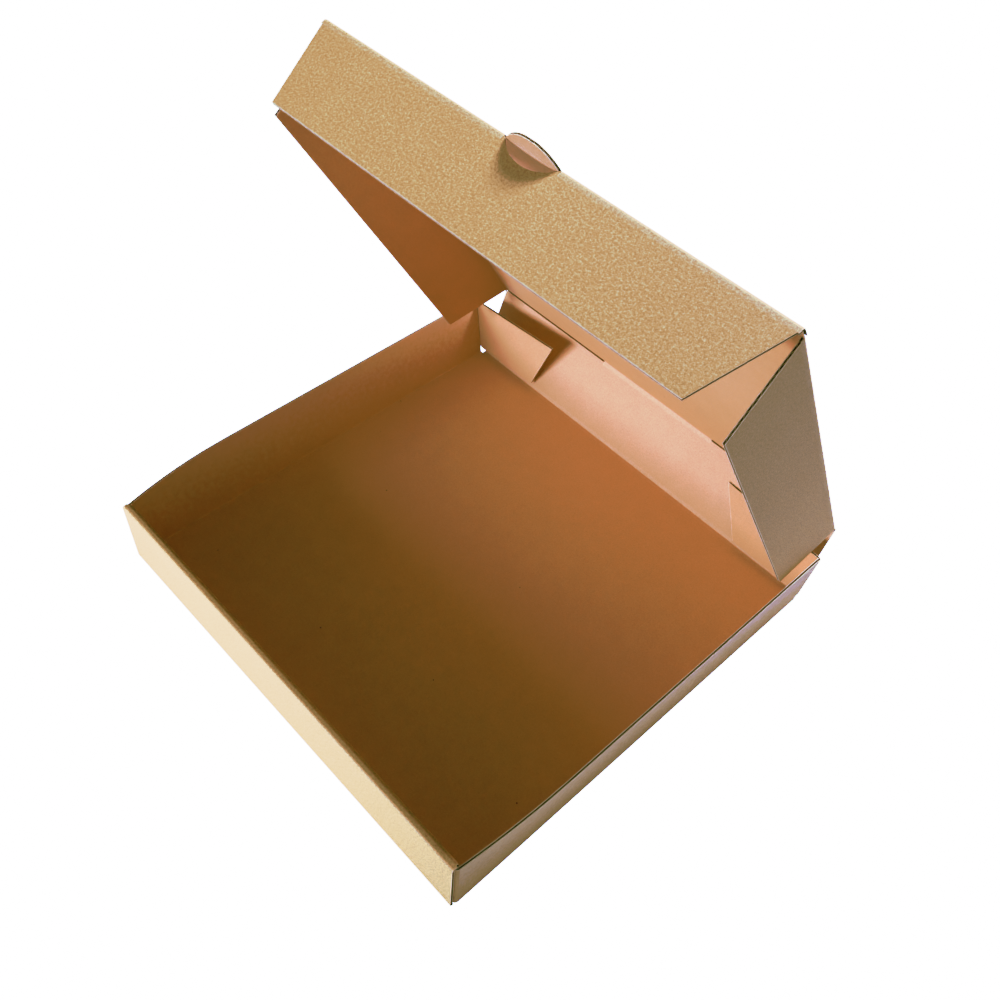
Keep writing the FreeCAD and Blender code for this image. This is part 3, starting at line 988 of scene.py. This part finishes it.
hole_round = np.linspace(-TAB_SIDE + JUMP, TAB_SIDE - JUMP, ROUND_STEPS)
hole_stops = [*hole_round, -TAB_SIDE - JUMP, TAB_SIDE + JUMP]
slant_stops = [side * (flap_corner + d) for side in (-1, 1) for d in (0, *range(1, 17, 2))]
both(boards["lid_front_flap"], flap_place, on_sheet(flap_base),
     spread(-flap_side, flap_side, PANEL_STEP, *hole_stops, *slant_stops), flap_low, flap_high,
     cut="h", scored="l", rows=8)
flutes["lid_front_flap"].panel(flap_place, on_sheet(flap_base), -flap_side + 1.0, flap_side - 1.0,
                               flap_flutes_low, flap_high)

# Lid's side flaps
flare_down = lid_inward * cos(SIDE_FLAP_FLARE) + X_AXIS * sin(SIDE_FLAP_FLARE)
side_flap_start = lid_crease + X_AXIS * LID_HALF
side_flap_place = flat_place(side_flap_start, flare_down, lid_along, -lid_along.cross(flare_down))


def side_low(d):
    return SIDE_FLAP_REAR[0] + (SIDE_FLAP_REAR[1] - SIDE_FLAP_REAR[0]) * d / SIDE_FLAP_DEPTH


def side_high(d):
    return SIDE_FLAP_FRONT[0] + (SIDE_FLAP_FRONT[1] - SIDE_FLAP_FRONT[0]) * d / SIDE_FLAP_DEPTH


for side, body in ((1, "lid_right_flap"), (-1, "lid_left_flap")):
    place = side_flap_place if side > 0 else mirrored(side_flap_place)
    sheet = on_sheet(lid_base, side, LID_HALF)
    both(boards[body], place, sheet, spread(CREASE_LAND, SIDE_FLAP_DEPTH, 10), side_low, side_high,
         cut="elh", scored="s", rows=LONG_ROWS)
    flutes[body].panel(place, sheet, CREASE_LAND - FLUTE_OVERLAP, SIDE_FLAP_DEPTH - FLAP_FLUTE_INSET,
                       side_low, side_high)


# Loose flaps at the rear corners
def corner_builder(lean):
    """The points of a corner flap and its two ends; w is the height, r the distance from its crease."""
    slope = lean / SIDE_HEIGHT_REAR

    def crease(z):
        return CORNER_PIVOT + slope * z

    def place(w, r, depth):
        return Vector((crease(w) - r, SIDE_REAR + BOARD - depth, w))

    def low(z):
        if z <= CORNER_TOP[0]:
            return 0.0
        share = (z - CORNER_TOP[0]) / (CORNER_TOP[1] - CORNER_TOP[0])
        top = crease(CORNER_TOP[0]) + (CORNER_FREE[1] - crease(CORNER_TOP[0])) * share
        return crease(z) - top

    def flutes_low(z):
        return low(z) + CORNER_FLUTE_INSET[0]

    def high(z):
        if z < CORNER_BOTTOM[1]:
            share = (z - CORNER_BOTTOM[0]) / (CORNER_BOTTOM[1] - CORNER_BOTTOM[0])
            return (crease(CORNER_BOTTOM[0]) - CORNER_FREE[0]) * share
        share = (z - CORNER_BOTTOM[1]) / (CORNER_TOP[1] - CORNER_BOTTOM[1])
        return crease(z) - (CORNER_FREE[0] + (CORNER_FREE[1] - CORNER_FREE[0]) * share)

    return place, low, flutes_low, high


corner_stops = spread(CORNER_BOTTOM[0] + 0.1, CORNER_TOP[1] - 0.1, 8,
                      CORNER_BOTTOM[1], CORNER_TOP[0], 52, 54, 56)
for side, body, lean in ((1, "rear_right_corner_flap", RIGHT_LEAN), (-1, "rear_left_corner_flap", LEFT_LEAN)):
    place, low, flutes_low, high = corner_builder(lean)
    place = place if side > 0 else mirrored(place)
    sheet = on_sheet(SIDE_REAR + 2, side, BOX_WIDTH / 2)
    both(boards[body], place, sheet, corner_stops, low, high, cut="seh", scored="l")
    flutes[body].panel(place, sheet, CORNER_BOTTOM[1] + CORNER_FLUTE_INSET[0],
                       CORNER_TOP[1] - CORNER_FLUTE_INSET[1], flutes_low, high)

# Liner and flute objects, one of each for a body
tree = flute_nodes()
nodes_of = {body: list(names) for body, names in frame["record"]["behaviour"]["bodies"].items()}
for body in sorted(boards):
    made = boards[body].object(body + "_liners", papers)
    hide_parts(*nodes_of[body])
    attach(made, body)
    waved = flutes[body].object(body + "_fluting", tree, core)
    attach(waved, body)


# Rounded strips across the creases, bent to the folds as the box stands here
def crease_strip(name, origin, first, second, axis, turn, spans, sheet):
    """Both liners across a fold, bent about the fold's line."""
    path = [(-CREASE_LAND, 0), (0, 0), (CREASE_LAND * cos(turn), CREASE_LAND * sin(turn))]
    length, stops, point = bent(path, [FOLD_RADIUS])

    def place(w, r, depth):
        p = point(r, depth)
        return origin + first * p.x + second * p.y + axis * w

    def centred(w, r):
        return sheet(w, r - length / 2)

    board = Board()
    for start, end in spans:
        both(board, place, centred, spread(start, end, 30), constant(0.0), constant(length),
             cut="se", marks=stops[1:-1])
    board.crease = [1.0] * len(board.crease)
    made = board.object(name, papers)
    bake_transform(made)


def turn_between(a, b, axis):
    return atan2(a.cross(b).dot(axis), a.dot(b))


def side_crease_sheet(side):
    """The flat sheet's places for a crease that runs along the lid."""
    def flat(w, r):
        return (side * (LID_HALF + r), lid_base + w)

    return flat


STRIP_END = 0.3
strip_half = LID_HALF - STRIP_END
crease_strip("floor_rear_crease", wall_crease, Y_AXIS, Z_AXIS, X_AXIS,
             turn_between(Y_AXIS, wall_up, X_AXIS), [(-FLOOR_HALF, FLOOR_HALF)], wall_sheet)
crease_strip("lid_rear_crease", lid_crease, wall_up, wall_inward, X_AXIS,
             turn_between(wall_up, lid_along, X_AXIS), [(-JOINED_HALF, JOINED_HALF)], lid_sheet)
crease_strip("lid_front_crease", lid_front, lid_along, lid_inward, X_AXIS,
             FRONT_FLAP_FOLD, [(-strip_half, -TAB_SIDE), (TAB_SIDE, strip_half)], on_sheet(flap_base))
for side, word in ((1, "right"), (-1, "left")):
    outwards = X_AXIS * side
    crease_strip("lid_%s_crease" % word, lid_crease + outwards * LID_HALF,
                 outwards, lid_inward, lid_along, pi / 2 - SIDE_FLAP_FLARE,
                 [(SIDE_FLAP_REAR[0], SIDE_FLAP_FRONT[0])], side_crease_sheet(side))


# The rear corners, where the outer liner wraps round the pivot of the loose flap
def wrap_builder(slope, point):
    def wrap(w, r, depth):
        p = point(r, depth)
        return Vector((CORNER_PIVOT + BOARD + slope * w - p.y, p.x, w))

    return wrap


wrap_path = [(SIDE_REAR - CREASE_LAND + 1, 0), (SIDE_REAR + BOARD, 0), (SIDE_REAR + BOARD, CREASE_LAND)]
wrap_length, wrap_stops, wrap_point = bent(wrap_path, [BOARD])
for side, word, lean in ((1, "right", RIGHT_LEAN), (-1, "left", LEFT_LEAN)):
    slope = lean / SIDE_HEIGHT_REAR
    wrap = wrap_builder(slope, wrap_point)
    board = Board()
    board.liner(wrap if side > 0 else mirrored(wrap), on_sheet(SIDE_REAR - 3, side, BOX_WIDTH / 2),
                spread(CORNER_BOTTOM[0] + 0.2, CORNER_TOP[0] - 0.2, 12), constant(0.0), constant(wrap_length),
                OUTER, "face", cut="se", marks=wrap_stops[1:-1])
    board.crease = [1.0] * len(board.crease)
    made = board.object("rear_%s_corner_crease" % word, papers)
    start = Vector((side * (CORNER_PIVOT + BOARD), SIDE_REAR, 0))
    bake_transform(made)

# Floor, light and camera
FLOOR_SHOWN = 4.0
FLOOR_GLOW = 0.15
FLOOR_GREY = 0.75
FLOOR_HALF_SIZE = 9
FLOOR_DROP = 0.0004
SKY_SHOWN = 4.0
SKY_LIGHT = 0.04
WHITE = (1, 1, 1, 1)
LENS = 38.678
SHIFT = (-0.0002, 0.0159)
CAMERA_PLACE = Vector((311.127, -310.692, 616.546))
CAMERA_RIGHT = Vector((0.6828595, 0.7283776, 0.0562939))
CAMERA_DOWN = Vector((0.5937054, -0.5083968, -0.6237360))
CAMERA_AHEAD = Vector((-0.4256957, 0.4593461, -0.7796053))


def camera_white(tree, shader, strength):
    """Shows the camera plain white, while the light that the surface gives the box stays as it is."""
    nodes = Nodes(tree)
    path, white = nodes.add("ShaderNodeLightPath"), nodes.add("ShaderNodeEmission")
    white.inputs["Strength"].default_value = strength
    mixed = nodes.add("ShaderNodeMixShader")
    nodes.link(path.outputs["Is Camera Ray"], mixed.inputs[0])
    nodes.link(shader, mixed.inputs[1])
    nodes.link(white.outputs[0], mixed.inputs[2])
    return mixed.outputs[0]


def floor_material():
    material = bpy.data.materials.new("studio_floor")
    material.use_nodes = True
    tree = material.node_tree
    shader = tree.nodes["Principled BSDF"]
    shader.inputs["Base Color"].default_value = (FLOOR_GREY, FLOOR_GREY, FLOOR_GREY, 1)
    shader.inputs["Roughness"].default_value = 0.9
    shader.inputs["Specular IOR Level"].default_value = 0.1
    shader.inputs["Emission Color"].default_value = WHITE
    shader.inputs["Emission Strength"].default_value = FLOOR_GLOW
    seen = camera_white(tree, shader.outputs[0], FLOOR_SHOWN)
    tree.links.new(seen, tree.nodes["Material Output"].inputs[0])
    return material


ground_mesh = bpy.data.meshes.new("studio_floor")
corner_signs = ((-1, -1), (1, -1), (1, 1), (-1, 1))
ground_corners = [(FLOOR_HALF_SIZE * x, FLOOR_HALF_SIZE * y, -FLOOR_DROP) for x, y in corner_signs]
ground_mesh.from_pydata(ground_corners, [], [(0, 1, 2, 3)])
ground_mesh.materials.append(floor_material())
ground = bpy.data.objects.new("studio_floor", ground_mesh)
bpy.context.scene.collection.objects.link(ground)
ground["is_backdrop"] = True

world = bpy.data.worlds.new("studio")
world.use_nodes = True
sky = world.node_tree.nodes["Background"]
sky.inputs["Color"].default_value = WHITE
sky.inputs["Strength"].default_value = SKY_LIGHT
shown = camera_white(world.node_tree, sky.outputs[0], SKY_SHOWN)
world.node_tree.links.new(shown, world.node_tree.nodes["World Output"].inputs[0])
bpy.context.scene.world = world


def softbox(name, place, aim, size, spread_angle, power, colour):
    """A rectangular area light that faces its aim."""
    light = bpy.data.lights.new(name, "AREA")
    light.shape = "RECTANGLE"
    light.size, light.size_y = size
    light.spread = radians(spread_angle)
    light.energy = power
    light.color = colour
    made = bpy.data.objects.new(name, light)
    bpy.context.scene.collection.objects.link(made)
    made.location = place
    made.rotation_euler = (Vector(aim) - Vector(place)).to_track_quat("-Z", "Y").to_euler()


softbox("front_softbox", place=(-0.27, -1.0, 0.25), aim=(0, 0.16, 0.03), size=(0.48, 0.27), spread_angle=60,
        power=2.5, colour=(1.0, 0.98, 0.97))
softbox("rear_softbox", place=(0.04, 1.15, 1.5), aim=(0, 0, 0.2), size=(0.4, 0.4), spread_angle=180,
        power=66, colour=(1.0, 0.98, 0.96))

camera = bpy.data.cameras.new("camera")
camera.sensor_width = 36
camera.lens = LENS
camera.shift_x, camera.shift_y = SHIFT
camera.clip_start = 0.01
viewpoint = bpy.data.objects.new("camera", camera)
bpy.context.scene.collection.objects.link(viewpoint)
turned = Matrix((CAMERA_RIGHT, -CAMERA_DOWN, -CAMERA_AHEAD)).transposed()
viewpoint.matrix_world = Matrix.Translation(CAMERA_PLACE * MM) @ turned.to_4x4()
bpy.context.scene.camera = viewpoint

# How bright the picture shows each brightness of the scene, as film does, for red, green and blue
FILM_RANGE = 4.0
RED_FILM = [
    (0.05, 0.035), (0.15, 0.11), (0.25, 0.185), (0.35, 0.24), (0.45, 0.325), (0.55, 0.42), (0.7, 0.53),
    (0.85, 0.605), (0.95, 0.675), (1.08, 0.79), (1.3, 0.85), (1.7, 0.885), (2.6, 0.94),
]
GREEN_FILM = [
    (0.015, 0.016), (0.034, 0.042), (0.065, 0.072), (0.11, 0.09), (0.16, 0.132), (0.245, 0.178), (0.32, 0.25),
    (0.4, 0.325), (0.45, 0.375), (0.5, 0.465), (0.56, 0.57), (0.65, 0.67), (0.8, 0.73), (1.1, 0.79),
    (1.8, 0.88), (2.6, 0.94),
]
BLUE_FILM = [
    (0.01, 0.006), (0.03, 0.017), (0.055, 0.034), (0.1, 0.066), (0.13, 0.098), (0.18, 0.155), (0.21, 0.215),
    (0.25, 0.345), (0.3, 0.45), (0.37, 0.54), (0.5, 0.62), (0.8, 0.73), (1.2, 0.81), (1.8, 0.88), (2.6, 0.94),
]
film = bpy.context.scene.view_settings
film.view_transform = "Standard"
film.use_curve_mapping = True
film.curve_mapping.white_level = (FILM_RANGE, FILM_RANGE, FILM_RANGE)
for curve, points in zip(film.curve_mapping.curves, (RED_FILM, GREEN_FILM, BLUE_FILM)):
    for scene_light, shown_light in points:
        curve.points.new(scene_light / FILM_RANGE, shown_light)
film.curve_mapping.update()

low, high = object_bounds()
{"cad": [list(cad_low), list(cad_high)], "visual": [list(low), list(high)]}
